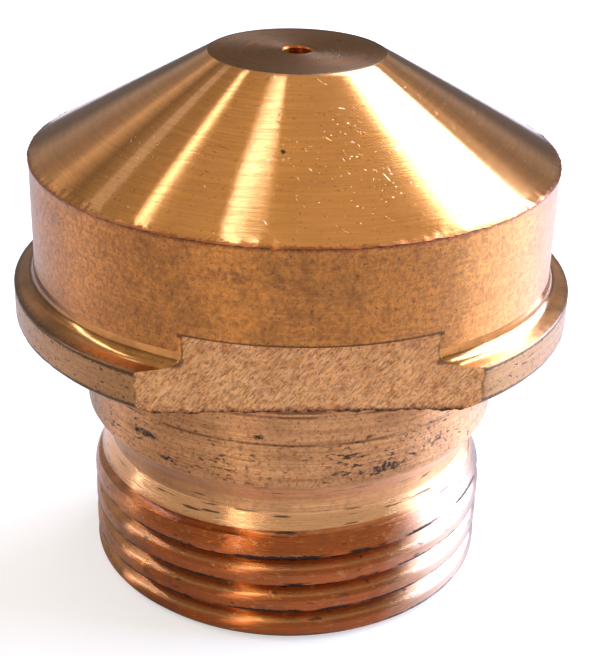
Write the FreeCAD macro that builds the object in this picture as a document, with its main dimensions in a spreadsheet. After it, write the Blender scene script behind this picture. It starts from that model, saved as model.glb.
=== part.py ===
"""Plasma torch nozzle, a single turned, bored, milled and threaded copper part.

Frame: millimetres, +Z up along the axis of the torch, origin at the centre of the
thread-end face, tip up. The two wrench flats face -Y and +Y.

The driving sizes are in the spreadsheet Sizes, and every sketch and feature is bound
to it, in the order in which a machine shop makes the part: turned blank, bored
chamber, drilled orifice, milled flats, cut thread.
"""
import FreeCAD, Part
import os
import Sketcher

NODE = "nozzle_body"
PLACE_TOLERANCE = 1e-4

SIZES = (
    # name, value in mm or degrees, what it is
    ("thread_diameter", 20.0, "major diameter of the M20 x 1.5 thread"),
    ("thread_pitch", 1.5, "rise of the thread in one turn"),
    ("thread_angle", 60.0, "angle between the two flanks"),
    ("thread_crest_width", 0.7, "flat left on each crest"),
    ("thread_phase", 0.205, "height of the first groove over +X"),
    ("thread_length", 4.8, "full-diameter length from the thread end"),
    ("thread_end_chamfer", 0.35, "chamfer at the start of the thread"),
    ("runout_length", 1.9, "slope from the crest down to the relief"),
    ("relief_depth", 0.85, "floor of the relief below the crest"),
    ("relief_length", 0.7, "straight floor of the relief"),
    ("shoulder_length", 1.3, "slope from the relief up to the neck"),
    ("neck_step", 0.2, "plain neck proud of the thread's crest"),
    ("neck_length", 4.55, "straight length of the neck, up to the flange"),
    ("flange_overhang", 1.0, "rim of the flange proud of the body"),
    ("flange_rim_height", 1.6, "straight height of the rim"),
    ("flange_chamfer", 0.35, "chamfer from the rim to the flange's underside"),
    ("flange_top_angle", 14.0, "fall of the flange's top towards the rim"),
    ("cove_radius", 0.45, "fillet between the flange's top and the body"),
    ("body_diameter", 25.0, "plain cylinder above the flange"),
    ("body_length", 6.1, "rim edge to the foot of the cone"),
    ("cone_height", 4.7, "foot of the cone to the tip face"),
    ("tip_diameter", 8.2, "flat face round the orifice"),
    ("flats_width", 22.5, "distance across the two wrench flats"),
    ("flats_height", 3.65, "flange's underside to the ledge of a flat"),
    ("chamber_diameter", 13.0, "bore that takes the electrode"),
    ("chamber_depth", 18.0, "straight depth of that bore"),
    ("chamber_mouth_chamfer", 0.5, "chamfer at the mouth of the bore"),
    ("chamber_floor_diameter", 3.0, "small end of the bore's conical floor"),
    ("chamber_floor_height", 5.0, "height of the bore's conical floor"),
    ("orifice_diameter", 1.3, "arc orifice through the tip"),
    ("orifice_edge_break", 0.08, "broken edge where the orifice leaves the tip"),
    ("cutter_overrun", 1.0, "travel of each cutter past the metal"),
)

# Radii of the turned outline, each from the piece of it that it steps from.
THREAD_RADIUS = "(Sizes.thread_diameter / 2)"
RELIEF_RADIUS = f"({THREAD_RADIUS} - Sizes.relief_depth)"
NECK_RADIUS = f"({THREAD_RADIUS} + Sizes.neck_step)"
BODY_RADIUS = "(Sizes.body_diameter / 2)"
RIM_RADIUS = f"({BODY_RADIUS} + Sizes.flange_overhang)"
CHAMBER_RADIUS = "(Sizes.chamber_diameter / 2)"

# Heights above the thread-end face, each built on the one below.
RUNOUT_FOOT = "(Sizes.thread_length)"
RELIEF_FOOT = f"({RUNOUT_FOOT} + Sizes.runout_length)"
RELIEF_TOP = f"({RELIEF_FOOT} + Sizes.relief_length)"
NECK_FOOT = f"({RELIEF_TOP} + Sizes.shoulder_length)"
FLANGE_FOOT = f"({NECK_FOOT} + Sizes.neck_length)"
RIM_FOOT = f"({FLANGE_FOOT} + Sizes.flange_chamfer)"
RIM_TOP = f"({RIM_FOOT} + Sizes.flange_rim_height)"
FLANGE_TOP = f"({RIM_TOP} + Sizes.flange_overhang * tan(Sizes.flange_top_angle * 1 deg))"
CONE_FOOT = f"({RIM_TOP} + Sizes.body_length)"
TIP = f"({CONE_FOOT} + Sizes.cone_height)"
LEDGE = f"({FLANGE_FOOT} + Sizes.flats_height)"
CHAMBER_END = "(Sizes.chamber_depth + Sizes.chamber_floor_height)"

# The thread groove: its first centre over +X, its half width at the crest and its root.
THREAD_START = "(Sizes.thread_phase - Sizes.thread_pitch)"
GROOVE_HALF = "((Sizes.thread_pitch - Sizes.thread_crest_width) / 2)"
HALF_FLANK = "tan(Sizes.thread_angle / 2 * 1 deg)"


def make_sizes(doc):
    """The spreadsheet: one row for each driving size, with its alias."""
    sheet = doc.addObject("Spreadsheet::Sheet", "Sizes")
    for row, (name, value, note) in enumerate(SIZES, start=1):
        sheet.set(f"A{row}", name)
        sheet.set(f"B{row}", str(value))
        sheet.set(f"C{row}", note)
        sheet.setAlias(f"B{row}", name)
    doc.recompute()
    return sheet


def origin_item(body, role):
    """A plane or an axis of the body's own origin."""
    return next(item for item in body.Origin.OriginFeatures if item.Role == role)


def number(sketch, expression):
    """The value of an expression now, in mm."""
    value = sketch.evalExpression(expression)
    return float(getattr(value, "Value", value))


def make_sketch(body, name, plane):
    """An empty sketch on one of the body's origin planes."""
    sketch = body.newObject("Sketcher::SketchObject", name)
    sketch.AttachmentSupport = [(origin_item(body, plane), "")]
    sketch.MapMode = "FlatFace"
    return sketch


def bind(sketch, constraint, name, expression):
    """Name a driving constraint and bind it to its expression."""
    index = sketch.addConstraint(constraint)
    sketch.renameConstraint(index, name)
    sketch.setExpression(f"Constraints.{name}", expression)


def draw_outline(sketch, corners):
    """Closed outline of straight lines, each corner held by two bound distances."""
    points = [
        FreeCAD.Vector(number(sketch, across), number(sketch, up), 0)
        for _, across, up in corners
    ]
    for start, end in zip(points, points[1:] + points[:1]):
        sketch.addGeometry(Part.LineSegment(start, end), False)
    for line in range(len(points)):
        following = (line + 1) % len(points)
        sketch.addConstraint(Sketcher.Constraint("Coincident", line, 2, following, 1))
    for line, (name, across, up) in enumerate(corners):
        for kind, part, expression in (("DistanceX", "x", across), ("DistanceY", "y", up)):
            value = number(sketch, expression)
            distance = Sketcher.Constraint(kind, -1, 1, line, 1, value)
            bind(sketch, distance, f"{name}_{part}", expression)


def round_corner(sketch, corners, name, radius):
    """Fillet of the outline's corner of this name, its radius bound."""
    after = [corner[0] for corner in corners].index(name)
    before = after - 1
    middle = [sketch.Geometry[line].value(0.5 * sketch.Geometry[line].length())
              for line in (before, after)]
    size = number(sketch, radius)
    sketch.fillet(before, after, *middle, size, True, True)
    arc = len(sketch.Geometry) - 1
    while not isinstance(sketch.Geometry[arc], Part.ArcOfCircle):
        arc -= 1
    bind(sketch, Sketcher.Constraint("Radius", arc, size), f"{name}_round", radius)


def draw_circle(sketch, name, diameter):
    """Circle round the sketch's origin."""
    radius = number(sketch, diameter) / 2
    centre = FreeCAD.Vector(0, 0, 0)
    sketch.addGeometry(Part.Circle(centre, FreeCAD.Vector(0, 0, 1), radius), False)
    sketch.addConstraint(Sketcher.Constraint("Coincident", 0, 3, -1, 1))
    bind(sketch, Sketcher.Constraint("Diameter", 0, radius * 2), name, diameter)


def ring_edges(feature, radius, height):
    """Names of the feature's full circles about the axis, of this radius and height."""
    names = []
    for index, edge in enumerate(feature.Shape.Edges, start=1):
        if not isinstance(edge.Curve, Part.Circle):
            continue
        same_radius = abs(edge.Curve.Radius - radius) < PLACE_TOLERANCE
        same_height = abs(edge.Curve.Center.z - height) < PLACE_TOLERANCE
        if same_radius and same_height:
            names.append(f"Edge{index}")
    return names


def turned_blank(doc, body):
    """Outside of the part as it leaves the lathe, without thread and flats."""
    sketch = make_sketch(body, "BlankOutline", "XZ_Plane")
    corners = (
        ("end_centre", "0", "0"),
        ("end_rim", THREAD_RADIUS, "0"),
        ("runout_foot", THREAD_RADIUS, RUNOUT_FOOT),
        ("relief_foot", RELIEF_RADIUS, RELIEF_FOOT),
        ("relief_top", RELIEF_RADIUS, RELIEF_TOP),
        ("neck_foot", NECK_RADIUS, NECK_FOOT),
        ("neck_top", NECK_RADIUS, FLANGE_FOOT),
        ("flange_edge", f"{RIM_RADIUS} - Sizes.flange_chamfer", FLANGE_FOOT),
        ("rim_foot", RIM_RADIUS, RIM_FOOT),
        ("rim_top", RIM_RADIUS, RIM_TOP),
        ("flange_top", BODY_RADIUS, FLANGE_TOP),
        ("cone_foot", BODY_RADIUS, CONE_FOOT),
        ("tip_rim", "Sizes.tip_diameter / 2", TIP),
        ("tip_centre", "0", TIP),
    )
    draw_outline(sketch, corners)
    round_corner(sketch, corners, "flange_top", "Sizes.cove_radius")
    blank = body.newObject("PartDesign::Revolution", "Blank")
    blank.Profile = sketch
    blank.ReferenceAxis = (sketch, ["V_Axis"])
    blank.Angle = 360
    doc.recompute()

    chamfer = body.newObject("PartDesign::Chamfer", "ThreadEndChamfer")
    chamfer.Base = (blank, ring_edges(blank, number(sketch, THREAD_RADIUS), 0))
    chamfer.setExpression("Size", "Sizes.thread_end_chamfer")
    doc.recompute()
    return chamfer


def bored_chamber(doc, body):
    """Electrode chamber, open at the thread end, with its conical floor."""
    sketch = make_sketch(body, "ChamberOutline", "XZ_Plane")
    mouth = "Sizes.chamber_mouth_chamfer"
    draw_outline(sketch, (
        ("centre_foot", "0", "-Sizes.cutter_overrun"),
        ("overrun_rim", f"{CHAMBER_RADIUS} + {mouth}", "-Sizes.cutter_overrun"),
        ("mouth_rim", f"{CHAMBER_RADIUS} + {mouth}", "0"),
        ("wall_foot", CHAMBER_RADIUS, mouth),
        ("wall_top", CHAMBER_RADIUS, "Sizes.chamber_depth"),
        ("floor_rim", "Sizes.chamber_floor_diameter / 2", CHAMBER_END),
        ("floor_centre", "0", CHAMBER_END),
    ))
    chamber = body.newObject("PartDesign::Groove", "Chamber")
    chamber.Profile = sketch
    chamber.ReferenceAxis = (sketch, ["V_Axis"])
    chamber.Angle = 360
    doc.recompute()
    return chamber


def drilled_orifice(doc, body):
    """Arc orifice from the chamber's floor through the tip, its exit edge broken."""
    sketch = make_sketch(body, "OrificeOutline", "XY_Plane")
    sketch.setExpression("AttachmentOffset.Base.z", TIP)
    draw_circle(sketch, "drill", "Sizes.orifice_diameter")
    orifice = body.newObject("PartDesign::Pocket", "Orifice")
    orifice.Profile = sketch
    orifice.Type = "Length"
    orifice.setExpression("Length", f"{TIP} - Sizes.chamber_depth")
    doc.recompute()

    edge = body.newObject("PartDesign::Chamfer", "OrificeEdge")
    radius = number(sketch, "Sizes.orifice_diameter / 2")
    edge.Base = (orifice, ring_edges(orifice, radius, number(sketch, TIP)))
    edge.setExpression("Size", "Sizes.orifice_edge_break")
    doc.recompute()
    return edge


def milled_flats(doc, body):
    """Two opposite wrench flats across the flange and the foot of the body."""
    sketch = make_sketch(body, "FlatOutline", "XZ_Plane")
    sketch.setExpression("AttachmentOffset.Base.z", "Sizes.flats_width / 2")
    reach = f"{RIM_RADIUS} + Sizes.cutter_overrun"
    foot = f"{FLANGE_FOOT} - Sizes.cutter_overrun"
    draw_outline(sketch, (
        ("foot_left", f"-({reach})", foot),
        ("foot_right", reach, foot),
        ("ledge_right", reach, LEDGE),
        ("ledge_left", f"-({reach})", LEDGE),
    ))
    flat = body.newObject("PartDesign::Pocket", "Flat")
    flat.Profile = sketch
    flat.Type = "Length"
    flat.Reversed = True
    flat.setExpression("Length", f"({reach}) - Sizes.flats_width / 2")
    doc.recompute()

    pair = body.newObject("PartDesign::Mirrored", "OppositeFlat")
    pair.Originals = [flat]
    pair.MirrorPlane = (origin_item(body, "XZ_Plane"), [""])
    body.Tip = pair
    doc.recompute()
    return pair


def cut_thread(doc, body):
    """Right-hand thread: one groove swept up a helix, from the end to the relief."""
    sketch = make_sketch(body, "ThreadGroove", "XZ_Plane")
    overrun = f"({GROOVE_HALF} / 2)"
    outer_radius = f"{THREAD_RADIUS} + {overrun}"
    outer_half = f"({GROOVE_HALF} + {overrun} * {HALF_FLANK})"
    draw_outline(sketch, (
        ("outer_foot", outer_radius, f"{THREAD_START} - {outer_half}"),
        ("outer_top", outer_radius, f"{THREAD_START} + {outer_half}"),
        ("root", f"{THREAD_RADIUS} - {GROOVE_HALF} / {HALF_FLANK}", THREAD_START),
    ))
    thread = body.newObject("PartDesign::SubtractiveHelix", "Thread")
    thread.Profile = sketch
    thread.ReferenceAxis = (sketch, ["V_Axis"])
    thread.Mode = "pitch-height-angle"
    thread.setExpression("Pitch", "Sizes.thread_pitch")
    thread.setExpression("Height", f"{RELIEF_FOOT} - {THREAD_START}")
    thread.LeftHanded = False
    doc.recompute()
    return thread


def check(doc, body):
    """Stop before anything is written if an object failed or the solid is wrong."""
    for item in doc.Objects:
        if "Invalid" in item.State or "Error" in item.State:
            raise RuntimeError(f"{item.Name} did not compute: {item.State}")
    shape = body.Shape
    if shape.isNull() or not shape.isValid() or len(shape.Solids) != 1:
        raise RuntimeError(f"{body.Label} is not one valid solid")


def main():
    doc = FreeCAD.newDocument("PlasmaTorchNozzle")
    make_sizes(doc)
    body = doc.addObject("PartDesign::Body", "NozzleBody")
    body.Label = NODE
    body.Placement = FreeCAD.Placement()
    for make in (turned_blank, bored_chamber, drilled_orifice, milled_flats, cut_thread):
        feature = make(doc, body)
        print(f"{feature.Name}: volume {feature.Shape.Volume:.2f} mm3")
    body.Tip = feature
    doc.recompute()
    check(doc, body)
    os.makedirs("parts", exist_ok=True)
    body.Shape.exportStep(f"parts/{NODE}.step")
    box = body.Shape.BoundBox
    print(f"{NODE}: {box.XLength:.3f} x {box.YLength:.3f} x {box.ZLength:.3f} mm, from z {box.ZMin:.3f}")


main()
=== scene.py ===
"""Plasma torch nozzle: one copper piece, turned, milled and threaded, on a plain studio floor."""
import math

import bmesh
import bpy
from bpy.props import FloatProperty, FloatVectorProperty, IntProperty, PointerProperty
from bpy.types import Operator, Panel, PropertyGroup
from mathutils import Matrix, Vector, noise


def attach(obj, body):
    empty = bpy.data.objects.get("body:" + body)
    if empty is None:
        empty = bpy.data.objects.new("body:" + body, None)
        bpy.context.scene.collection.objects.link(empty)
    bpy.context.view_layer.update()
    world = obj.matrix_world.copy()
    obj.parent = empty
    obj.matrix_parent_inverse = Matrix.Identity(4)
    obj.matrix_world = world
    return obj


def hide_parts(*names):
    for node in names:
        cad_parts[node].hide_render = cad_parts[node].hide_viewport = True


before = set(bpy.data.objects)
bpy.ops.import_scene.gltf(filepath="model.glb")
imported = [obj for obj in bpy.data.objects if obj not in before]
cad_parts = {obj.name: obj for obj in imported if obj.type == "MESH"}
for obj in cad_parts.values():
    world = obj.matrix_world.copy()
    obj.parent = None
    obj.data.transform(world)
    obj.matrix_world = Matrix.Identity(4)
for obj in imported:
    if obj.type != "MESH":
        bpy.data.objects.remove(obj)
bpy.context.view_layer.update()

bl_info = {
    "name": "Plasma Torch Nozzle",
    "version": (1, 0, 0),
    "blender": (4, 5, 0),
    "location": "View3D > Sidebar > Nozzle",
    "description": "Turns, mills, threads and finishes a copper plasma torch nozzle",
    "category": "Object",
}

CAD_NODE = "nozzle_body"

MM = 0.001
FULL_TURN = 2.0 * math.pi
QUARTER_TURN = math.pi / 2.0
AXIS = (0.0, 0.0, 1.0)
ORIGIN = (0.0, 0.0, 0.0)

# The mesh: equal sectors round the axis, the rings' spacing and the welding distance.
SECTORS = 12
FINE_SPACING = 0.24 * MM
COARSE_SPACING = 0.45 * MM
WELD = 0.001 * MM
SHARP_ANGLE = math.radians(28.0)
FLAT_GRID = (70, 16)
GROOVE_TURNS = 6
LEAST_FACES = 1000

# Gouges in the neck: middle, reach along each axis and depth, in millimetres.
GOUGES = (
    ((-7.18, -7.25, 9.95), (1.1, 1.3, 0.28), 0.10),
    ((-2.12, -9.98, 11.26), (0.42, 0.6, 0.16), 0.05),
    ((3.84, -9.45, 9.3), (1.2, 1.0, 0.3), 0.03),
    ((-6.1, -8.2, 9.1), (0.6, 0.6, 0.2), 0.05),
)

# Knocked parts of the cone: middle and reach along each axis, in millimetres.
CONE_KNOCKS = (((1.4, -8.6, 23.3), (3.8, 4.0, 2.4)), ((-7.2, -5.6, 23.4), (1.6, 1.6, 1.0)))
# Scratches there: how each lot is turned, in radians, and its cover.
CONE_SCRATCHES = (((0.0, 0.5, 0.3), 0.735), ((0.4, 0.2, 1.1), 0.745),
                  ((0.2, -0.6, 2.2), 0.745))
CONE_PIT = ((-1.13, -7.99, 23.78), (0.12, 0.2, 0.1))

# Smudges on the body: middle in millimetres, and strength.
BODY_SMUDGES = (((-3.5, -12.0, 19.9), 0.6), ((-1.2, -12.4, 19.7), 0.35))
BODY_SHADE = ((-3.0, -12.1, 19.2), (6.5, 3.0, 2.6))

# Half of the milled flat's width on the body and on the flange, in millimetres.
FLAT_HALF_WIDTHS = (5.45, 7.46)

# Dark lines round the neck: height and half width in millimetres.
NECK_LINES = ((12.55, 0.05), (12.3, 0.04), (10.9, 0.03), (12.95, 0.05))

# Shares of a turn of the thread, upwards from the crest.
# The lit flank is lightened with a painted highlight.
LIT_FLANK = (0.27, 0.36)
# The groove root and the line along each crest's lower edge are darkened with dirt and painted
# shade.
GROOVE_ROOT = (0.46, 0.57)
SHADE_AND_GRIME_LINE = (0.70, 0.82)

# The studio: a small floor, and lamps on a sphere round the nozzle.
FLOOR_HALF_WIDTH = 0.17
LAMP_DISTANCE = 0.45
LAMP_AIM = Vector((0.0, 0.0, 0.018))
PLAIN, COOL, COLD = (1.0, 1.0, 1.0), (0.86, 1.0, 1.5), (0.72, 1.0, 1.8)

# Soft boxes: name, where each starts and ends, its width, its share of the window light
# and its tint. Places are azimuth and elevation. All angles are in degrees.
WINDOWS = (
    ("upper_window", (52.5, 34.0), (46.0, 56.5), 34.0, 1.0, COOL),
    ("lower_window", (12.0, 1.0), (12.0, 42.0), 52.0, 0.9, COLD),
)
# Narrow lamps, in the same way, by share of the strip light.
STRIPS = (
    ("top_strip", (102.0, 73.3), (138.0, 73.3), 2.0, 1.3, COLD),
    ("back_strip", (118.0, 55.2), (144.0, 55.2), 2.2, 0.6, COOL),
    ("low_strip", (117.0, 42.5), (141.0, 42.5), 4.0, 0.05, COLD),
    ("front_strip", (-121.0, 4.0), (-121.0, 70.0), 2.5, 1.5, PLAIN),
    ("left_strip", (168.0, 5.0), (168.0, 50.0), 3.0, 1.6, COOL),
)

# The studio's walls and ceiling: height as a sine, and brightness as a share.
SKY_BANDS = ((0.0, 0.28), (0.09, 0.30), (0.21, 0.78), (0.34, 0.60), (0.42, 0.78),
             (0.47, 1.40), (0.515, 1.00), (0.575, 0.45), (0.64, 0.75), (0.74, 0.77),
             (0.84, 1.00), (0.92, 1.18), (0.98, 1.30))


# ---------------------------------------------------------------- sizes and colours

def length(name, description, millimetres):
    """A length that a user can change."""
    return FloatProperty(name=name, description=description, default=millimetres * MM,
                         min=0.0, soft_max=0.1, precision=5, unit="LENGTH")


def turn(name, description, degrees):
    """An angle that a user can change."""
    return FloatProperty(name=name, description=description, default=math.radians(degrees),
                         unit="ROTATION")


def colour(name, description, value):
    """A colour that a user can change."""
    return FloatVectorProperty(name=name, description=description, default=value, size=3,
                               min=0.0, max=1.0, subtype="COLOR")


def amount(name, description, value, top=1.0):
    """A plain number that a user can change."""
    return FloatProperty(name=name, description=description, default=value, min=0.0,
                         soft_max=top)


class NozzleSizes(PropertyGroup):
    """The machined sizes of the nozzle."""

    body_radius: length("Body Radius", "Plain cylinder above the flange", 12.5)
    rim_radius: length("Rim Radius", "Rim of the flange", 13.5)
    neck_radius: length("Neck Radius", "Plain neck under the flange", 10.2)
    thread_radius: length("Thread Radius", "Crest of the thread", 10.0)
    relief_radius: length("Relief Radius", "Floor of the relief above the thread", 9.15)
    tip_radius: length("Tip Radius", "Flat face round the orifice", 4.1)
    orifice_radius: length("Orifice Radius", "Arc orifice", 0.65)
    chamber_radius: length("Chamber Radius", "Bore that takes the electrode", 6.5)
    floor_radius: length("Chamber Floor Radius", "Small end of the bore's conical floor", 1.5)

    thread_top: length("Thread Top", "Height at which the runout slope starts", 4.8)
    relief_foot: length("Relief Foot", "Height of the relief's lower edge", 6.7)
    relief_top: length("Relief Top", "Height of the relief's upper edge", 7.4)
    neck_foot: length("Neck Foot", "Height of the neck's lower edge", 8.7)
    flange_foot: length("Flange Foot", "Height of the flange's underside", 13.25)
    flange_chamfer: length("Flange Chamfer", "Chamfer from the rim to the underside", 0.35)
    rim_top: length("Rim Top", "Height of the rim's upper edge", 15.2)
    cone_foot: length("Cone Foot", "Height of the foot of the cone", 21.3)
    tip_height: length("Tip Height", "Height of the tip face", 26.0)
    ledge_height: length("Ledge Height", "Height of the wrench flats' ledge", 16.9)
    chamber_depth: length("Chamber Depth", "Straight depth of the bore", 18.0)
    chamber_end: length("Chamber End", "Height of the bore's conical floor", 23.0)

    flange_slope: turn("Flange Slope", "Fall of the flange's top towards the rim", 14.0)
    flats_half_width: length("Flats Half Width", "Axis to each wrench flat", 11.25)

    thread_pitch: length("Thread Pitch", "Rise of the thread in one turn", 1.5)
    groove_mouth: length("Groove Mouth", "Half width of the groove at the crest", 0.4)
    groove_centre: length("Groove Centre", "Height of the groove's centre at the front", 2.83)
    thread_angle: turn("Thread Angle", "Angle between the two flanks", 60.0)

    end_chamfer: length("End Chamfer", "Chamfer at the start of the thread", 0.35)
    mouth_chamfer: length("Mouth Chamfer", "Chamfer at the mouth of the bore", 0.5)
    cove: length("Cove", "Fillet between the flange's top and the body", 0.45)
    edge_break: length("Edge Break", "Rounding of the outside edges", 0.07)
    burr: length("Burr", "Height of the burr at the foot of the cone", 0.07)

    steps: IntProperty(name="Steps", description="Facets round the axis", default=420, min=48)


class NozzleColours(PropertyGroup):
    """The colours of the copper and of what has settled on it."""

    bright: colour("Bright Copper", "Freshly cut copper on the cone", (0.74, 0.305, 0.078))
    body: colour("Body Copper", "Turned copper of the cylinder", (0.80, 0.31, 0.060))
    neck: colour("Neck Copper", "Paler copper of the neck", (0.90, 0.44, 0.17))
    rim: colour("Rim Copper", "Duller copper of the flange's rim", (0.53, 0.27, 0.10))
    flat: colour("Milled Copper", "Milled wrench flats", (0.96, 0.46, 0.155))
    thread: colour("Thread Copper", "Deep orange copper of the thread", (0.52, 0.115, 0.014))
    tip: colour("Tip Copper", "Dull copper of the tip face", (0.225, 0.145, 0.09))
    # Pale copper also paints highlights: glints on the tip and the reflection on the thread's
    # right side.
    pale: colour("Pale Copper", "Copper scratched bright", (0.95, 0.74, 0.48))
    # This orange also paints a highlight on the thread's lit flank and sheen at its left side.
    worn_and_highlight: colour("Worn Copper", "Orange copper rubbed bright", (0.82, 0.40, 0.12))
    rust: colour("Red Copper", "Reddish oxide in small dots", (0.34, 0.085, 0.022))
    # This brown also paints shade and shadow: under the flange and the cone's burr, along the
    # ledge, and towards the left sides.
    tarnish_and_shade: colour("Tarnish", "Brown oxide that dulls the copper", (0.16, 0.06, 0.02))
    # This dark colour also paints shade in the thread's grooves and under its crests.
    grime_and_shade: colour("Grime", "Dark dirt in marks and grooves", (0.02, 0.014, 0.01))


class NozzleStudio(PropertyGroup):
    """Camera, floor and lamps."""

    camera_place: FloatVectorProperty(
        name="Camera Place", description="Where the camera stands",
        default=(-0.005075, -0.0634, 0.0426), size=3, subtype="TRANSLATION", unit="LENGTH")
    camera_azimuth: turn("Camera Azimuth", "Turn of the camera about the axis", -5.01)
    camera_elevation: turn("Camera Elevation", "How far the camera looks down", 25.87)
    camera_roll: turn("Camera Roll", "Tilt of the camera about its own view", 1.6)
    camera_lens: FloatProperty(name="Camera Lens", description="Focal length in millimetres",
                               default=76.8, min=10.0, unit="CAMERA")
    floor_colour: colour("Floor Colour", "Plain pale floor", (0.66, 0.59, 0.50))
    floor_glow: amount("Floor Glow", "How much paler the floor looks than it is lit", 0.5)
    sky_light: amount("Sky Light", "Brightness of the light from all round", 0.6, 4.0)
    window_light: amount("Window Light", "Brightness of the soft box at the right", 10.0, 20.0)
    strip_light: amount("Strip Light", "Brightness of each narrow lamp", 8.0, 20.0)


# ---------------------------------------------------------------- shapes

def new_piece(name, mesh_data, materials=()):
    """An object at the origin that carries this mesh."""
    mesh = bpy.data.meshes.new(name)
    mesh_data.to_mesh(mesh)
    mesh_data.free()
    for material in materials:
        mesh.materials.append(material)
    piece = bpy.data.objects.new(name, mesh)
    bpy.context.scene.collection.objects.link(piece)
    return piece


def draw_section(bm, corners):
    """A closed line through the corners: radius, height, rounding and arc segments."""
    section = [bm.verts.new((radius, 0.0, height)) for radius, height, _, _ in corners]
    bm.faces.new(section)
    for corner, (_, _, rounding, segments) in zip(section, corners):
        if rounding > 0.0:
            bmesh.ops.bevel(bm, geom=[corner], offset=rounding, segments=segments,
                            profile=0.5, affect="VERTICES", material=-1)
    bmesh.ops.delete(bm, geom=bm.faces[:], context="FACES_ONLY")


def sweep(bm, angle, steps, rise=0.0):
    """Sweep the section round the axis, rising evenly."""
    bmesh.ops.spin(bm, geom=bm.verts[:] + bm.edges[:], axis=AXIS, cent=ORIGIN, angle=angle,
                   steps=steps, dvec=(0.0, 0.0, rise / steps))


def repeat(bm, angle, times, rise=0.0):
    """Copy the swept faces on round the axis, so often in all, and weld them together."""
    bmesh.ops.spin(bm, geom=bm.verts[:] + bm.edges[:] + bm.faces[:], axis=AXIS, cent=ORIGIN,
                   angle=angle * (times - 1), steps=times - 1, dvec=(0.0, 0.0, rise),
                   use_duplicate=True)
    bmesh.ops.remove_doubles(bm, verts=bm.verts, dist=WELD)


def turned_outline(s):
    """Corners of the turned and bored section: radius, height, rounding and arc segments."""
    foot_of_slope = s.rim_top + (s.rim_radius - s.body_radius) * math.tan(s.flange_slope)
    sharp, eased, rounded, flare = 0.03 * MM, 0.05 * MM, 0.12 * MM, 0.08 * MM
    return (
        (s.orifice_radius, s.tip_height - flare, 0.0, 1),
        (s.orifice_radius + flare, s.tip_height, 0.0, 1),
        (s.tip_radius, s.tip_height, eased, 2),
        (s.body_radius - 0.03 * MM, s.cone_foot + 0.02 * MM, 0.0, 1),
        (s.body_radius + 0.6 * s.burr, s.cone_foot - 0.02 * MM, 0.0, 1),
        (s.body_radius + 0.4 * s.burr, s.cone_foot - 0.12 * MM, 0.0, 1),
        (s.body_radius, s.cone_foot - 0.22 * MM, 0.0, 1),
        (s.body_radius, foot_of_slope, s.cove, 6),
        (s.rim_radius, s.rim_top, s.edge_break, 3),
        (s.rim_radius, s.flange_foot + s.flange_chamfer, s.edge_break, 3),
        (s.rim_radius - s.flange_chamfer, s.flange_foot, s.edge_break, 2),
        (s.neck_radius, s.flange_foot, 0.1 * MM, 2),
        (s.neck_radius, s.neck_foot, rounded, 2),
        (s.relief_radius, s.relief_top, rounded, 2),
        (s.relief_radius, s.relief_foot, rounded, 2),
        (s.thread_radius, s.thread_top, 0.15 * MM, 2),
        (s.thread_radius, s.end_chamfer, eased, 2),
        (s.thread_radius - s.end_chamfer, 0.0, sharp, 1),
        (s.chamber_radius + s.mouth_chamfer, 0.0, sharp, 1),
        (s.chamber_radius, s.mouth_chamfer, sharp, 1),
        (s.chamber_radius, s.chamber_depth, 0.2 * MM, 2),
        (s.floor_radius, s.chamber_end, 0.1 * MM, 2),
        (s.orifice_radius, s.chamber_end, eased, 1),
    )


def turned_blank(s):
    """The section, its corners rounded, spun about the axis."""
    bm = bmesh.new()
    draw_section(bm, turned_outline(s))
    margin = 0.1 * MM
    fine_from = s.neck_foot - 0.3 * MM
    for spacing, low, high in ((FINE_SPACING, fine_from, s.tip_height + MM),
                               (COARSE_SPACING, -MM, fine_from)):
        for edge in list(bm.edges):
            middle = (edge.verts[0].co + edge.verts[1].co) / 2.0
            inside = (middle.x < s.chamber_radius + margin
                      and middle.z < s.chamber_end + margin)
            cuts = int(edge.calc_length() / spacing)
            if low <= middle.z < high and cuts and not inside:
                bmesh.ops.subdivide_edges(bm, edges=[edge], cuts=cuts)
    sweep(bm, FULL_TURN / SECTORS, s.steps // SECTORS)
    repeat(bm, FULL_TURN / SECTORS, SECTORS)
    bmesh.ops.recalc_face_normals(bm, faces=bm.faces)
    return bm


def flat_cutter(s, side):
    """The block that a milling cutter takes off one side, its face divided into a grid."""
    bm = bmesh.new()
    height = s.ledge_height - s.flange_foot + MM
    width, thickness = 2.4 * s.body_radius, 4.0 * MM
    bmesh.ops.create_grid(bm, x_segments=FLAT_GRID[0], y_segments=FLAT_GRID[1], size=0.5)
    bmesh.ops.scale(bm, vec=(width, height, 1.0), verts=bm.verts)
    bmesh.ops.rotate(bm, cent=ORIGIN, verts=bm.verts,
                     matrix=Matrix.Rotation(side * QUARTER_TURN, 3, "X"))
    bmesh.ops.translate(bm, verts=bm.verts,
                        vec=(0.0, side * s.flats_half_width, s.ledge_height - height / 2.0))
    grown = bmesh.ops.extrude_face_region(bm, geom=bm.faces[:])
    moved = [item for item in grown["geom"] if isinstance(item, bmesh.types.BMVert)]
    bmesh.ops.translate(bm, verts=moved, vec=(0.0, side * thickness, 0.0))
    bmesh.ops.recalc_face_normals(bm, faces=bm.faces)
    return bm


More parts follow.
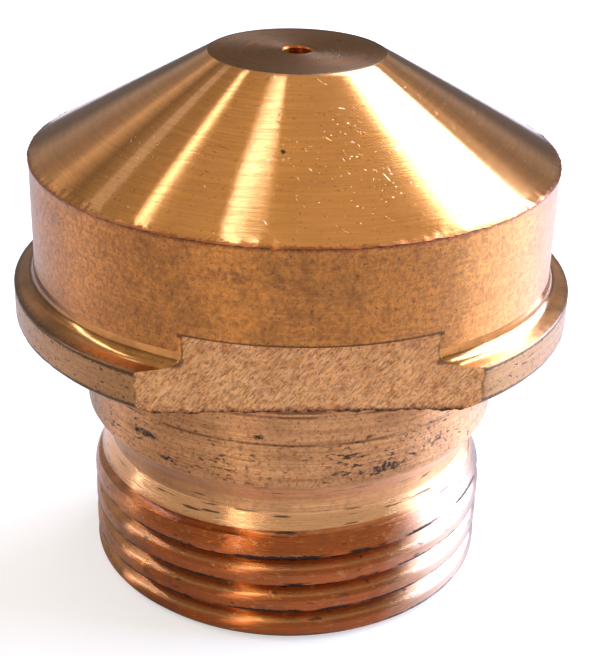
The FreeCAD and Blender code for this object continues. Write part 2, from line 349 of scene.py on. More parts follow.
def groove_cutter(s):
    """The thread's groove: its section, each crest's upper edge eased, up a helix."""
    bm = bmesh.new()
    half_flank = math.tan(s.thread_angle / 2.0)
    crest, mouth = s.thread_radius, s.groove_mouth
    root = crest - mouth / half_flank
    reach, skim = 0.5 * MM, 0.02 * MM
    below = 0.48 * s.thread_pitch
    over = mouth + 0.9 * reach * half_flank
    draw_section(bm, (
        (crest + reach, -below, 0.0, 1),
        (crest + skim, -below, 0.0, 1),
        (crest, -mouth, 0.3 * MM, 5),
        (root, 0.0, 0.07 * MM, 2),
        (crest, mouth, 0.0, 1),
        (crest + reach, over, 0.0, 1),
    ))
    bmesh.ops.rotate(bm, verts=bm.verts, cent=ORIGIN,
                     matrix=Matrix.Rotation(-QUARTER_TURN, 3, "Z"))
    turns_below = GROOVE_TURNS / 2.0
    bmesh.ops.translate(bm, verts=bm.verts,
                        vec=(0.0, 0.0, s.groove_centre - turns_below * s.thread_pitch))
    sweep(bm, FULL_TURN, s.steps, s.thread_pitch)
    repeat(bm, FULL_TURN, GROOVE_TURNS, s.thread_pitch)
    bmesh.ops.holes_fill(bm, edges=[edge for edge in bm.edges if edge.is_boundary], sides=0)
    bmesh.ops.recalc_face_normals(bm, faces=bm.faces)
    return bm


def cut_away(piece, cutters):
    """Cut each of these closed meshes out of the piece, for good."""
    tools = [new_piece(f"cutter_{i}", bm) for i, bm in enumerate(cutters)]
    for tool in tools:
        cut = piece.modifiers.new(tool.name, "BOOLEAN")
        cut.operation = "DIFFERENCE"
        cut.solver = "MANIFOLD"
        cut.object = tool
    bpy.context.view_layer.update()
    evaluated = piece.evaluated_get(bpy.context.evaluated_depsgraph_get())
    finished = bpy.data.meshes.new_from_object(evaluated)
    if len(finished.polygons) < LEAST_FACES:
        raise RuntimeError("the cutters left nothing of the piece")
    piece.modifiers.clear()
    blank, piece.data = piece.data, finished
    bpy.data.meshes.remove(blank)
    for tool in tools:
        mesh = tool.data
        bpy.data.objects.remove(tool)
        bpy.data.meshes.remove(mesh)


def fade(distance, reach):
    """1 at no distance, falling smoothly to 0 at the reach."""
    near = max(0.0, 1.0 - abs(distance) / reach)
    return near * near * (3.0 - 2.0 * near)


def ripple(point, size):
    """Smooth noise from -1 to 1 that changes over this distance."""
    return noise.noise(point / size)


def burr_wear(s, p, outward):
    """How far the burr at the foot of the cone is torn at a point."""
    torn = fade(p.z - s.cone_foot, 0.2 * MM) * s.burr
    raised = 0.6 * ripple(p, 0.25 * MM) + 0.4 * ripple(p, 0.9 * MM)
    sunk = 0.8 * ripple(p + outward, 0.3 * MM)
    return outward * (torn * raised) - Vector((0.0, 0.0, torn * sunk))


def rim_wear(s, p, outward):
    """How far the edges of the flange's rim are nicked at a point."""
    nicks = 0.05 * MM * max(0.0, ripple(p, 0.4 * MM))
    edges = (s.rim_top, s.flange_foot + s.flange_chamfer)
    return -outward * (nicks * sum(fade(p.z - edge, 0.18 * MM) for edge in edges))


def flat_wear(s, p):
    """How far a milled flat is ruffled at a point, most at its upper and lower edges."""
    ruffled = 0.02 * MM * (1.0 + ripple(p, 0.35 * MM))
    low = fade(p.z - s.flange_foot, 0.35 * MM)
    high = fade(p.z - s.ledge_height, 0.25 * MM)
    hanging = low * 0.16 * MM * max(0.0, 0.2 + ripple(p, 0.3 * MM))
    standing = high * 0.06 * MM * ripple(p, 0.5 * MM)
    return Vector((0.0, -math.copysign(ruffled, p.y), standing - hanging))


def gouge_wear(p, outward):
    """How deep the gouges are at a point."""
    sunk, rim = 0.0, 1.2
    for centre, reach, depth in GOUGES:
        away = Vector([(p[i] / MM - centre[i]) / reach[i] for i in range(3)]).length
        sunk += depth * MM * fade(away, rim)
    return -outward * sunk


def wear(piece, s):
    """Raise the burrs, ruffle the milled edges and press in the gouges."""
    outside = s.relief_radius - 0.5 * MM
    near = 0.01 * MM
    for vertex in piece.data.vertices:
        p = vertex.co
        r = math.hypot(p.x, p.y)
        if r < outside:
            continue
        outward = Vector((p.x, p.y, 0.0)) / r
        move = gouge_wear(p, outward)
        if r > s.body_radius - 0.25 * MM:
            move += burr_wear(s, p, outward)
        if r > s.body_radius + 0.2 * MM:
            move += rim_wear(s, p, outward)
        on_flat = abs(abs(p.y) - s.flats_half_width) < near
        if on_flat and s.flange_foot - near < p.z < s.ledge_height + near:
            move += flat_wear(s, p)
        vertex.co = p + move


def surface_zone(s, point, normal):
    """Which finish a face has, from where it is and which way it faces."""
    r = math.hypot(point.x, point.y)
    z = point.z
    if r < s.chamber_radius + s.mouth_chamfer + 0.05 * MM and z < s.chamber_end + 0.2 * MM:
        return "bore"
    if r < s.orifice_radius + 0.1 * MM:
        return "bore"
    if abs(normal.y) > 0.99 and abs(abs(point.y) - s.flats_half_width) < 0.2 * MM and (
            s.flange_foot - 0.1 * MM < z < s.ledge_height + 0.1 * MM):
        return "flat"
    on_body = r > s.body_radius - 0.02 * MM
    for zone, height in (("tip", s.tip_height - 0.04 * MM),
                         ("cone", s.cone_foot - 0.01 * MM),
                         ("body", s.rim_top + 0.85 * MM),
                         ("cove", s.rim_top - 0.03 * MM),
                         ("rim", s.flange_foot - 0.03 * MM),
                         ("neck", s.neck_foot - 0.05 * MM),
                         ("relief", s.relief_foot - 0.05 * MM)):
        if z > height and (on_body or zone != "body"):
            return zone
    return "thread"


# ---------------------------------------------------------------- finishes

class Nodes:
    """The node tree of a material or a world, with short calls for the nodes it needs."""

    def __init__(self, owner):
        owner.use_nodes = True
        self.owner = owner
        self.tree = owner.node_tree
        self.tree.nodes.clear()
        self.count = 0

    def fill(self, socket, value):
        """Give an input a value, or link another node's output to it."""
        if isinstance(value, bpy.types.NodeSocket):
            self.tree.links.new(value, socket)
        else:
            socket.default_value = value

    def add(self, kind, inputs=(), **settings):
        """A node, its settings, and its inputs by name: a socket or a plain value."""
        node = self.tree.nodes.new(kind)
        self.count += 1
        row, column = divmod(self.count, 9)
        node.location = (180.0 * column, -220.0 * row)
        for key, value in settings.items():
            setattr(node, key, value)
        for key, value in dict(inputs).items():
            self.fill(node.inputs[key], value)
        return node

    def millimetres(self, scale=(1.0, 1.0, 1.0), turned=(0.0, 0.0, 0.0)):
        """Object coordinates in millimetres, turned and then stretched."""
        place = self.add("ShaderNodeTexCoord").outputs["Object"]
        return self.add("ShaderNodeMapping", {
            "Vector": place, "Rotation": turned,
            "Scale": tuple(MM / value for value in scale)},
            vector_type="TEXTURE").outputs["Vector"]

    def noise(self, vector, scale=1.0, detail=3.0, roughness=0.5):
        """Grey noise over a vector."""
        return self.add("ShaderNodeTexNoise", {
            "Vector": vector, "Scale": scale, "Detail": detail,
            "Roughness": roughness}).outputs["Fac"]

    def ramp(self, value, low, high, start=0.0, end=1.0):
        """A value stretched from low..high to start..end, held at both ends."""
        return self.add("ShaderNodeMapRange", {
            "Value": value, "From Min": low, "From Max": high, "To Min": start,
            "To Max": end}, clamp=True).outputs["Result"]

    def maths(self, operation, *values):
        """Values joined by an arithmetic operation."""
        return self.add("ShaderNodeMath", dict(enumerate(values)),
                        operation=operation).outputs["Value"]

    def blend(self, factor, first, second):
        """Two colours mixed by a factor."""
        node = self.add("ShaderNodeMix", data_type="RGBA")
        colours = [socket for socket in node.inputs if socket.type == "RGBA"]
        for socket, value in zip((node.inputs[0], *colours), (factor, first, second)):
            self.fill(socket, value)
        return next(socket for socket in node.outputs if socket.type == "RGBA")


def rgba(value):
    """A colour with full alpha."""
    return (*value, 1.0)


class Copper(Nodes):
    """A copper finish, built up in layers that change its colour, roughness and height."""

    def __init__(self, name, base, roughness):
        super().__init__(bpy.data.materials.new(name))
        self.place = self.millimetres()
        parts = self.add("ShaderNodeSeparateXYZ", {"Vector": self.place})
        self.x, self.y, self.z = parts.outputs
        self.colour = rgba(base)
        self.rough = roughness
        self.height = 0.0

    def stain(self, mask, colour, strength, roughness=0.0, depth=0.0):
        """Tint the copper where the mask is, and roughen or raise it there."""
        self.colour = self.blend(self.maths("MULTIPLY", mask, strength), self.colour,
                                 rgba(colour))
        if roughness:
            self.rough = self.maths("ADD", self.rough,
                                    self.maths("MULTIPLY", mask, roughness))
        if depth:
            self.height = self.maths("ADD", self.height,
                                     self.maths("MULTIPLY", mask, depth))

    def both(self, first, second):
        """Where two masks overlap."""
        return self.maths("MULTIPLY", first, second)

    def clouds(self, size, low=0.4, high=0.7, detail=3.0):
        """Soft patches about this many millimetres across."""
        return self.ramp(self.noise(self.place, 1.0 / size, detail, 0.6), low, high)

    def dots(self, size, cover, soft=0.05, squash=1.0):
        """Small dots, more of them as cover falls."""
        place = self.millimetres((squash, squash, 1.0)) if squash != 1.0 else self.place
        return self.ramp(self.noise(place, 1.0 / size, 2.0, 0.5), cover, cover + soft)

    def rings(self, each_mm, low=0.35, high=0.65, along=0.25):
        """Lines left by the turning tool, round the axis."""
        place = self.millimetres((along, along, each_mm))
        return self.ramp(self.noise(place, 1.0, 4.0, 0.65), low, high)

    def circles(self, each_mm, low=0.35, high=0.65):
        """The tool's lines on a face across the axis."""
        across = self.add("ShaderNodeCombineXYZ", {"X": self.x, "Y": self.y})
        radius = self.add("ShaderNodeVectorMath", {0: across.outputs["Vector"]},
                          operation="LENGTH").outputs["Value"]
        place = self.add("ShaderNodeCombineXYZ", {
            "X": self.maths("MULTIPLY", self.x, 0.3),
            "Y": self.maths("MULTIPLY", self.y, 0.3),
            "Z": self.maths("MULTIPLY", radius, each_mm)}).outputs["Vector"]
        return self.ramp(self.noise(place, 1.0, 4.0, 0.65), low, high)

    def scratches(self, turned, cover, length_mm=1.4, each_mm=9.0):
        """Short straight scratches that run the way the pattern is turned."""
        place = self.millimetres((1.0 / length_mm, each_mm, each_mm), turned)
        over = self.maths("SUBTRACT", self.noise(place, 1.0, 1.0, 0.4), cover)
        return self.ramp(over, 0.0, 0.03)

    def dashes(self, cover):
        """Thin dark dashes left along the tool's lines."""
        place = self.millimetres((0.55, 0.55, 6.0))
        return self.ramp(self.noise(place, 1.0, 2.0, 0.5), cover, cover + 0.04)

    def shaken(self, value, size, reach):
        """A height or place made ragged by noise."""
        wobble = self.maths("SUBTRACT", self.noise(self.place, 1.0 / size, 2.0, 0.6), 0.5)
        return self.maths("ADD", value, self.maths("MULTIPLY", wobble, 2.0 * reach))

    def band(self, value, low, high, soft):
        """Where a value lies between two limits."""
        return self.both(self.ramp(value, low - soft, low),
                         self.ramp(value, high, high + soft, 1.0, 0.0))

    def spot(self, centre, size, ragged=0.5):
        """A ragged mark round a point, with its reach along each axis, all in mm."""
        away = self.add("ShaderNodeVectorMath", {0: self.place, 1: centre},
                        operation="SUBTRACT").outputs["Vector"]
        scaled = self.add("ShaderNodeVectorMath", {0: away, 1: size},
                          operation="DIVIDE").outputs["Vector"]
        far = self.add("ShaderNodeVectorMath", {0: scaled},
                       operation="LENGTH").outputs["Value"]
        return self.ramp(self.shaken(far, 0.22, ragged), 0.6, 1.0, 1.0, 0.0)

    def turn_phase(self, pitch, centre):
        """How far up its turn of the thread a point is: 0 on the crest, 0.5 at the groove."""
        angle = self.maths("ARCTAN2", self.y, self.x)
        lift = self.maths("MULTIPLY_ADD", angle, pitch / FULL_TURN, pitch / 4.0 + centre)
        turns = self.maths("DIVIDE", self.maths("SUBTRACT", self.z, lift), pitch)
        return self.maths("FRACT", self.maths("ADD", turns, 0.5))

    def done(self, anisotropy, coat, sheen, edge=(1.0, 1.0, 1.0)):
        """Join the layers to the shader, with its shine drawn across the tool's lines."""
        bump = self.add("ShaderNodeBump", {"Height": self.height, "Strength": 1.0,
                                           "Distance": MM})
        tangent = self.add("ShaderNodeTangent", direction_type="RADIAL", axis="Z")
        shader = self.add("ShaderNodeBsdfPrincipled", {
            "Base Color": self.colour, "Metallic": 1.0, "Roughness": self.rough,
            "Normal": bump.outputs["Normal"], "Coat Weight": coat, "Coat Roughness": 0.2,
            "Specular Tint": rgba(edge), "Sheen Weight": sheen, "Sheen Roughness": 0.4,
            "Anisotropic": anisotropy, "Anisotropic Rotation": 0.25,
            "Tangent": tangent.outputs["Tangent"]})
        self.add("ShaderNodeOutputMaterial", {"Surface": shader.outputs["BSDF"]})
        return self.owner


def cone_copper(c, s):
    """Polished, with fine rings, nicks and scratches, and a torn edge at its foot."""
    f = Copper("polished_cone_copper", c.bright, 0.1)
    f.stain(f.rings(9.0), c.tarnish_and_shade, 0.15, 0.03, -0.0012)
    f.stain(f.rings(24.0, 0.45, 0.7), c.tarnish_and_shade, 0.14, 0.0, -0.0005)
    f.stain(f.clouds(2.6, 0.5, 0.75), c.tarnish_and_shade, 0.14)
    f.stain(f.dots(0.16, 0.64), c.rust, 0.4)
    knocked = f.maths("MAXIMUM", *(f.spot(*knock, 0.3) for knock in CONE_KNOCKS))
    for turned, cover in CONE_SCRATCHES:
        cover = f.ramp(knocked, 0.0, 1.0, cover + 0.06, cover)
        f.stain(f.scratches(turned, cover, 2.2, 8.0), c.pale, 0.6, 0.08, 0.002)
    f.stain(f.scratches((0.1, 0.3, -0.6), 0.75), c.grime_and_shade, 0.5, 0.1, -0.004)
    f.stain(f.spot(*CONE_PIT), c.grime_and_shade, 0.9, 0.2, -0.01)
    foot = s.cone_foot / MM
    f.stain(f.ramp(f.shaken(f.z, 0.16, 0.12), foot + 0.02, foot + 0.08, 1.0, 0.0),
            c.rust, 0.8, 0.2)
    return f.done(0.95, 0.0, 0.0)


def tip_copper(c):
    """Dull and brown, with the tool's circles."""
    f = Copper("tip_face_copper", c.tip, 0.3)
    f.stain(f.circles(6.0), c.tarnish_and_shade, 0.4, 0.08, -0.003)
    f.stain(f.circles(15.0, 0.5, 0.7), c.worn_and_highlight, 0.14)
    f.stain(f.clouds(1.2), c.rust, 0.2)
    f.stain(f.dots(0.18, 0.63), c.grime_and_shade, 0.5)
    # Painted glints: pale flecks in the highlight to the right of the orifice.
    f.stain(f.both(f.dots(0.1, 0.60), f.spot((1.6, -0.9, 26.0), (1.8, 0.8, 1.0))), c.pale, 0.6)
    return f.done(0.6, 0.0, 0.0, (0.6, 0.5, 0.42))


def body_copper(c, s):
    """Matte, speckled with red and brown dots, with rust and a painted shadow under the cone's
    torn edge, and a painted shadow along the ledge.
    """
    f = Copper("turned_body_copper", c.body, 0.45)
    f.stain(f.rings(11.0), c.tarnish_and_shade, 0.2, 0.05, -0.003)
    f.stain(f.clouds(0.18, 0.42, 0.66, 2.0), c.rust, 0.42)
    f.stain(f.clouds(0.28, 0.46, 0.66, 4.0), c.tarnish_and_shade, 0.42)
    f.stain(f.dots(0.11, 0.62, 0.1), c.pale, 0.16)
    f.stain(f.clouds(1.8, 0.42, 0.68), c.tarnish_and_shade, 0.22)
    f.stain(f.both(f.clouds(0.9, 0.3, 0.7), f.spot(*BODY_SHADE, 0.3)), c.tarnish_and_shade, 0.28)
    for centre, strength in BODY_SMUDGES:
        f.stain(f.both(f.spot(centre, (1.1, 1.0, 0.4), 0.9), f.clouds(0.2, 0.4, 0.6)),
                c.tarnish_and_shade, strength)
    f.stain(f.dots(0.11, 0.64, 0.04), c.grime_and_shade, 0.6, 0.1)
    f.stain(f.dots(0.24, 0.73, 0.04), c.grime_and_shade, 0.6, 0.1)
    foot = s.cone_foot / MM
    # Rust, then a painted shadow: a dark ragged band under the burr at the cone's foot.
    f.stain(f.ramp(f.shaken(f.z, 0.2, 0.22), foot - 0.22, foot - 0.1), c.rust, 0.8)
    f.stain(f.ramp(f.shaken(f.z, 0.12, 0.14), foot - 0.1, foot - 0.04), c.tarnish_and_shade, 0.9, 0.2)
    ledge = s.ledge_height / MM
    # Painted shadow: a dark ragged line along the ledge over the front flat.
    over_flat = f.both(f.band(f.x, -5.6, 5.6, 0.05), f.ramp(f.y, -10.9, -10.8, 1.0, 0.0))
    edge = f.band(f.shaken(f.z, 0.15, 0.08), ledge - 0.1, ledge + 0.06, 0.05)
    f.stain(f.both(over_flat, edge), c.tarnish_and_shade, 0.85, 0.1)
    return f.done(0.85, 0.2, 0.3)


def cove_copper(c, s):
    """Polished, with the tool's rings, darker along the rim, with painted shade at one side."""
    f = Copper("polished_cove_copper", c.bright, 0.14)
    f.stain(f.rings(8.0), c.tarnish_and_shade, 0.3, 0.05, -0.002)
    f.stain(f.clouds(1.5, 0.45, 0.7), c.tarnish_and_shade, 0.45)
    f.stain(f.dots(0.15, 0.66), c.grime_and_shade, 0.4)
    # Painted shade: darker towards the left side.
    f.stain(f.ramp(f.shaken(f.x, 0.8, 0.8), -11.5, -8.5, 0.6, 0.0), c.tarnish_and_shade, 1.0, 0.1)
    high = s.rim_top / MM
    f.stain(f.ramp(f.shaken(f.z, 0.2, 0.06), high + 0.02, high + 0.08, 1.0, 0.0), c.grime_and_shade,
            0.6, 0.1)
    return f.done(0.5, 0.1, 0.0)


def rim_copper(c, s):
    """Brownish, with fine lines and dark dots, darker along both edges."""
    f = Copper("flange_rim_copper", c.rim, 0.38)
    f.stain(f.rings(8.0), c.tarnish_and_shade, 0.35, 0.05, -0.004)
    f.stain(f.clouds(0.2, 0.45, 0.65, 2.0), c.rust, 0.3)
    f.stain(f.dots(0.2, 0.63, 0.05, 0.5), c.grime_and_shade, 0.7, 0.1, -0.01)
    f.stain(f.scratches((0.0, 0.2, 0.2), 0.66, 2.0), c.grime_and_shade, 0.6)
    low = (s.flange_foot + s.flange_chamfer) / MM
    high = s.rim_top / MM
    for edge, reach in ((low, 0.1), (high, 0.14)):
        f.stain(f.band(f.shaken(f.z, 0.15, 0.12), edge - reach, edge + reach, 0.05),
                c.grime_and_shade, 0.7, 0.1)
    return f.done(0.85, 0.1, 0.1)


def milled_copper(c, s):
    """Coarse slanting marks of the milling cutter, fibrous, darker at the edges: dark at the
    foot, painted shadow under the ledge and painted shade along the sides.
    """
    f = Copper("milled_flat_copper", c.flat, 0.42)
    slant = (0.0, math.radians(-50.0), 0.0)
    marks = f.noise(f.millimetres((1.8, 1.0, 6.0), slant), 1.0, 4.0, 0.7)
    fine = f.noise(f.millimetres((3.5, 1.0, 13.0), slant), 1.0, 3.0, 0.65)
    f.stain(f.ramp(marks, 0.44, 0.62), c.rust, 0.30, 0.05, -0.03)
    f.stain(f.ramp(fine, 0.52, 0.62), c.pale, 0.40, 0.0, 0.02)
    f.stain(f.ramp(fine, 0.46, 0.38), c.tarnish_and_shade, 0.45, 0.1, -0.015)
    f.stain(f.clouds(0.3, 0.5, 0.7, 2.0), c.rust, 0.45)
    f.stain(f.clouds(2.2, 0.45, 0.7), c.rust, 0.2)
    f.stain(f.dots(0.14, 0.62, 0.05), c.rust, 0.6)
    f.stain(f.dots(0.16, 0.68, 0.05), c.grime_and_shade, 0.5)
    foot, rim, ledge = s.flange_foot / MM, s.rim_top / MM, s.ledge_height / MM
    ragged = f.shaken(f.z, 0.35, 0.5)
    f.stain(f.ramp(ragged, foot + 0.02, foot + 0.25, 1.0, 0.0), c.rust, 0.7, 0.1, -0.03)
    f.stain(f.ramp(f.shaken(f.z, 0.2, 0.25), foot - 0.02, foot + 0.08, 1.0, 0.0), c.grime_and_shade,
            0.8, 0.1)
    # Painted shadow under the ledge, and painted shade along the flat's side edges.
    f.stain(f.ramp(f.shaken(f.z, 0.25, 0.2), ledge - 0.08, ledge), c.tarnish_and_shade, 0.8)
    across = f.shaken(f.maths("ABSOLUTE", f.x), 0.25, 0.2)
    end = FLAT_HALF_WIDTHS
    upper = f.both(f.ramp(f.z, rim + 0.15, rim + 0.25),
                   f.ramp(across, end[0] - 0.09, end[0] + 0.01))
    f.stain(upper, c.tarnish_and_shade, 0.8)
    f.stain(f.ramp(across, end[1] - 0.08, end[1]), c.tarnish_and_shade, 0.7)
    return f.done(0.0, 0.1, 0.15)


def neck_copper(c, s):
    """Pale, with fine lines, a belt of dark specks and some gouges, with painted shadow under the
    flange and painted shade at one side.
    """
    f = Copper("turned_neck_copper", c.neck, 0.4)
    f.stain(f.rings(10.0), c.tarnish_and_shade, 0.36, 0.05, -0.004)
    f.stain(f.rings(3.0, 0.5, 0.7, 0.15), c.rust, 0.3)
    f.stain(f.clouds(0.2, 0.45, 0.65, 2.0), c.rust, 0.3)
    f.stain(f.clouds(2.2, 0.45, 0.7), c.tarnish_and_shade, 0.3)
    for height, reach in NECK_LINES:
        f.stain(f.both(f.band(f.shaken(f.z, 0.8, 0.03), height - reach, height + reach, 0.06),
                       f.clouds(1.6, 0.35, 0.55)), c.tarnish_and_shade, 0.7, 0.05, -0.01)
    belt = f.both(f.band(f.shaken(f.z, 1.5, 0.5), 9.0, 11.0, 0.4), f.clouds(1.4, 0.4, 0.6))
    f.stain(f.both(belt, f.dots(0.15, 0.56, 0.06, 0.5)), c.grime_and_shade, 0.8, 0.2, -0.01)
    f.stain(f.dots(0.15, 0.68, 0.05, 0.4), c.grime_and_shade, 0.6, 0.1)
    f.stain(f.dots(0.14, 0.60, 0.05), c.rust, 0.55)
    for centre, size, depth in GOUGES:
        inner = f.spot(centre, tuple(0.8 * reach for reach in size), 0.9)
        f.stain(f.both(inner, f.clouds(0.2, 0.3, 0.5)), c.grime_and_shade, 0.85, 0.2, -depth / 3.0)
    # Painted shadow: darker just under the flange.
    f.stain(f.ramp(f.z, s.flange_foot / MM - 0.3, s.flange_foot / MM), c.tarnish_and_shade, 0.7)
    # Painted shade: darker towards the left side.
    f.stain(f.ramp(f.shaken(f.x, 0.8, 0.6), -10.0, -8.4, 0.5, 0.0), c.tarnish_and_shade, 1.0)
    return f.done(0.9, 0.15, 0.2)


def relief_copper(c):
    """Smooth and pale, with dark dashes along the tool's lines, with painted shade at one side.
    """
    f = Copper("relief_copper", c.neck, 0.36)
    f.stain(f.rings(12.0), c.tarnish_and_shade, 0.35, 0.05, -0.004)
    f.stain(f.clouds(0.25, 0.5, 0.7, 2.0), c.rust, 0.3)
    f.stain(f.clouds(1.5, 0.5, 0.75), c.tarnish_and_shade, 0.25)
    f.stain(f.dashes(0.66), c.grime_and_shade, 0.8, 0.1, -0.01)
    f.stain(f.dots(0.15, 0.67), c.rust, 0.4)
    # Painted shade: darker towards the left side.
    f.stain(f.ramp(f.shaken(f.x, 1.2, 1.2), -6.5, -4.0, 0.4, 0.0), c.tarnish_and_shade, 1.0)
    return f.done(0.9, 0.2, 0.15)


def thread_copper(c, s):
    """Deep orange with broken dark lines of dirt and painted shade, a painted highlight on each
    lit flank, and paler at two sides with a painted reflection and sheen.
    """
    f = Copper("thread_copper", c.thread, 0.24)
    f.stain(f.rings(12.0), c.tarnish_and_shade, 0.35, 0.04, -0.006)
    f.stain(f.clouds(1.2, 0.45, 0.7), c.tarnish_and_shade, 0.35)
    f.stain(f.dots(0.16, 0.60, 0.1, 0.4), c.worn_and_highlight, 0.3, 0.0, 0.004)
    across = f.shaken(f.x, 1.0, 0.6)
    # Painted reflection: paler towards the right side, where the bright window is mirrored.
    f.stain(f.ramp(across, 3.8, 6.8), c.pale, 0.45, 0.04)
    f.stain(f.ramp(across, 8.2, 9.4), c.tarnish_and_shade, 0.6)
    # Painted sheen: paler towards the left edge.
    f.stain(f.ramp(across, -8.6, -7.0, 1.0, 0.0), c.worn_and_highlight, 0.3)
    f.stain(f.both(f.ramp(across, -7.0, -5.0, 1.0, 0.0), f.clouds(0.9, 0.45, 0.6)), c.tarnish_and_shade,
            0.5)
    phase = f.turn_phase(s.thread_pitch / MM, s.groove_centre / MM)
    top = s.thread_top / MM
    below = f.ramp(f.z, top + 0.2, top + 0.5, 1.0, 0.0)
    # Painted highlight: the lit flank of each turn is lightened.
    f.stain(f.both(f.band(phase, *LIT_FLANK, 0.03), below), c.worn_and_highlight, 0.35)
    broken = f.ramp(f.noise(f.millimetres((0.4, 0.4, 0.8)), 1.0, 3.0, 0.6), 0.40, 0.50)
    # Dark dirt and painted shade in the groove root.
    root = f.both(f.band(f.shaken(phase, 0.3, 0.05), *GROOVE_ROOT, 0.03), below)
    f.stain(f.both(root, f.ramp(broken, 0.0, 1.0, 0.4, 1.0)), c.grime_and_shade, 0.7, 0.3)
    # Dark dirt and painted shade along each crest's lower edge.
    crest = f.both(f.band(f.shaken(phase, 0.2, 0.06), *SHADE_AND_GRIME_LINE, 0.02), below)
    f.stain(f.both(crest, broken), c.grime_and_shade, 0.95, 0.3)
    f.stain(f.dots(0.3, 0.68, 0.04, 0.35), c.grime_and_shade, 0.6, 0.1)
    f.stain(f.ramp(f.shaken(f.z, 0.8, 0.12), top + 0.85, top + 1.2), c.neck, 1.0)
    f.stain(f.both(f.dashes(0.62), f.ramp(f.z, top + 0.6, top + 0.9)), c.grime_and_shade, 0.8)
    return f.done(1.0, 0.4, 0.15)


def bore_copper(c):
    """The bored inside, with the boring tool's rings."""
    f = Copper("bored_chamber_copper", c.thread, 0.3)
    f.stain(f.rings(5.0), c.tarnish_and_shade, 0.3, 0.08, -0.004)
    f.stain(f.clouds(2.0), c.tarnish_and_shade, 0.3)
    return f.done(0.6, 0.0, 0.0)


def copper_finishes(c, s):
    """Every finish of the nozzle, by the zone that it covers."""
    return {"cone": cone_copper(c, s), "tip": tip_copper(c), "body": body_copper(c, s),
            "cove": cove_copper(c, s), "rim": rim_copper(c, s), "flat": milled_copper(c, s),
            "neck": neck_copper(c, s), "relief": relief_copper(c),
            "thread": thread_copper(c, s), "bore": bore_copper(c)}


# ---------------------------------------------------------------- operators

class NOZZLE_OT_body(Operator):
    """Turn, bore, mill and thread the nozzle, and give each surface its finish"""

    bl_idname = "nozzle.body"
    bl_label = "Make Nozzle"

    def execute(self, context):
        s = context.scene.nozzle_sizes
        finishes = copper_finishes(context.scene.nozzle_colours, s)
        zones = list(finishes)
        piece = new_piece("nozzle_turned_copper", turned_blank(s))
        cut_away(piece, (flat_cutter(s, -1.0), flat_cutter(s, 1.0), groove_cutter(s)))
        mesh = piece.data
        mesh.materials.clear()
        for material in finishes.values():
            mesh.materials.append(material)
        for face in mesh.polygons:
            face.material_index = zones.index(surface_zone(s, face.center, face.normal))
        wear(piece, s)
        mesh.shade_smooth()
        mesh.set_sharp_from_angle(angle=SHARP_ANGLE)
        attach(piece, "root")
        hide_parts(CAD_NODE)
        return {"FINISHED"}


def direction(azimuth, elevation):
    """Unit vector towards a compass direction and a height above the floor, in degrees."""
    turned, raised = math.radians(azimuth), math.radians(elevation)
    return Vector((math.cos(raised) * math.cos(turned), math.cos(raised) * math.sin(turned),
                   math.sin(raised)))


def lamp(name, start, end, width, brightness, tint):
    """A soft box that faces the nozzle, and reaches from one direction to another.

    start and end are azimuth and elevation, and width is its angle across, in degrees.
    """
    first, last = direction(*start), direction(*end)
    away = (first + last).normalized()
    along = (last - first).normalized()
    across = along.cross(away).normalized()
    data = bpy.data.lights.new(name, "AREA")
    data.shape = "RECTANGLE"
    data.size = 2.0 * LAMP_DISTANCE * math.tan(math.radians(width) / 2.0)
    data.size_y = 2.0 * LAMP_DISTANCE * math.tan(first.angle(last) / 2.0)
    data.energy = brightness * math.pi * data.size * data.size_y
    data.color = tint
    light = bpy.data.objects.new(name, data)
    light.matrix_world = (Matrix.Translation(LAMP_AIM + away * LAMP_DISTANCE)
                          @ Matrix((across, along, away)).transposed().to_4x4())
    bpy.context.scene.collection.objects.link(light)


def sky(strength):
    """Light from all round in soft bands, behind a white backdrop for the camera."""
    world = bpy.data.worlds.new("studio_sky")
    bpy.context.scene.world = world
    n = Nodes(world)
    place = n.add("ShaderNodeTexCoord").outputs["Generated"]
    height = n.add("ShaderNodeSeparateXYZ", {"Vector": place}).outputs["Z"]
    bands = n.add("ShaderNodeValToRGB", {"Fac": height})
    stops = bands.color_ramp.elements
    stops.remove(stops[-1])
    for i, (at, share) in enumerate(SKY_BANDS):
        stop = stops.new(at) if i else stops[0]
        stop.color = (share, share, share, 1.0)
    lit = n.add("ShaderNodeBackground", {"Color": bands.outputs["Color"],
                                         "Strength": strength})
    white = n.add("ShaderNodeBackground", {"Color": (1.0, 1.0, 1.0, 1.0)})
    rays = n.add("ShaderNodeLightPath").outputs
    seen = n.add("ShaderNodeMixShader", {0: rays["Is Camera Ray"],
                                         1: lit.outputs["Background"],
                                         2: white.outputs["Background"]})
    n.add("ShaderNodeOutputWorld", {"Surface": seen.outputs["Shader"]})


def pale_floor(colour_value, glow):
    """A plain floor that keeps the shadow, paler where the camera sees it."""
    n = Nodes(bpy.data.materials.new("plain_pale_floor"))
    rays = n.add("ShaderNodeLightPath").outputs
    shade = n.add("ShaderNodeBsdfDiffuse", {"Color": rgba(colour_value)})
    seen = n.maths("MULTIPLY", rays["Is Camera Ray"], glow)
    light = n.add("ShaderNodeEmission", {"Strength": seen})
    both = n.add("ShaderNodeAddShader", {0: shade.outputs["BSDF"],
                                         1: light.outputs["Emission"]})
    n.add("ShaderNodeOutputMaterial", {"Surface": both.outputs["Shader"]})
    return n.owner


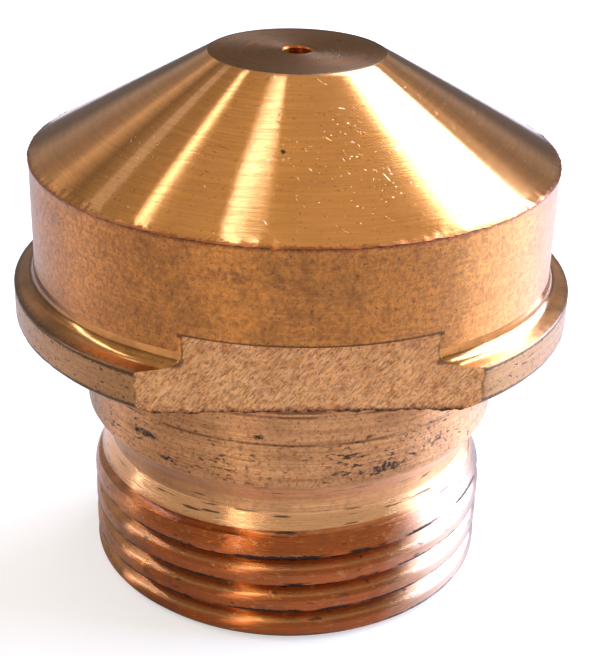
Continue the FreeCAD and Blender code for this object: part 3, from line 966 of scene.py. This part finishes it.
class NOZZLE_OT_studio(Operator):
    """Set the camera, the pale floor and the soft lamps"""

    bl_idname = "nozzle.studio"
    bl_label = "Make Studio"

    def execute(self, context):
        k = context.scene.nozzle_studio
        scene = context.scene
        scene.view_settings.view_transform = "Standard"

        data = bpy.data.cameras.new("studio_camera")
        data.lens = k.camera_lens
        data.sensor_fit = "AUTO"
        data.sensor_width = 36.0
        data.clip_start = 0.001
        camera = bpy.data.objects.new("studio_camera", data)
        camera.matrix_world = (Matrix.Translation(k.camera_place)
                               @ Matrix.Rotation(k.camera_azimuth, 4, "Z")
                               @ Matrix.Rotation(QUARTER_TURN - k.camera_elevation, 4, "X")
                               @ Matrix.Rotation(k.camera_roll, 4, "Z"))
        scene.collection.objects.link(camera)
        scene.camera = camera

        bm = bmesh.new()
        bmesh.ops.create_grid(bm, x_segments=2, y_segments=2, size=FLOOR_HALF_WIDTH)
        plain = pale_floor(k.floor_colour, k.floor_glow)
        floor = new_piece("studio_floor", bm, (plain,))

        sky(k.sky_light)
        for lamps, light in ((WINDOWS, k.window_light), (STRIPS, k.strip_light)):
            for name, start, end, width, share, tint in lamps:
                lamp(name, start, end, width, share * light, tint)
        return {"FINISHED"}


class NOZZLE_PT_panel(Panel):
    """Sizes, colours and studio of the nozzle"""

    bl_idname = "NOZZLE_PT_panel"
    bl_label = "Plasma Torch Nozzle"
    bl_space_type = "VIEW_3D"
    bl_region_type = "UI"
    bl_category = "Nozzle"

    def draw(self, context):
        scene = context.scene
        for title, group, operator in (
                ("Sizes", scene.nozzle_sizes, "nozzle.body"),
                ("Colours", scene.nozzle_colours, None),
                ("Studio", scene.nozzle_studio, "nozzle.studio")):
            box = self.layout.box()
            box.label(text=title)
            for name in group.__annotations__:
                box.prop(group, name)
            if operator:
                box.operator(operator)


CLASSES = (NozzleSizes, NozzleColours, NozzleStudio, NOZZLE_OT_body, NOZZLE_OT_studio,
           NOZZLE_PT_panel)


def register():
    """Add the classes and the scene's settings."""
    for cls in CLASSES:
        bpy.utils.register_class(cls)
    bpy.types.Scene.nozzle_sizes = PointerProperty(type=NozzleSizes)
    bpy.types.Scene.nozzle_colours = PointerProperty(type=NozzleColours)
    bpy.types.Scene.nozzle_studio = PointerProperty(type=NozzleStudio)


def unregister():
    """Take away what register() added."""
    for name in ("nozzle_sizes", "nozzle_colours", "nozzle_studio"):
        delattr(bpy.types.Scene, name)
    for cls in reversed(CLASSES):
        bpy.utils.unregister_class(cls)


def main():
    """Make the nozzle and its studio."""
    register()
    bpy.ops.nozzle.studio()
    bpy.ops.nozzle.body()


if __name__ == "__main__":
    main()
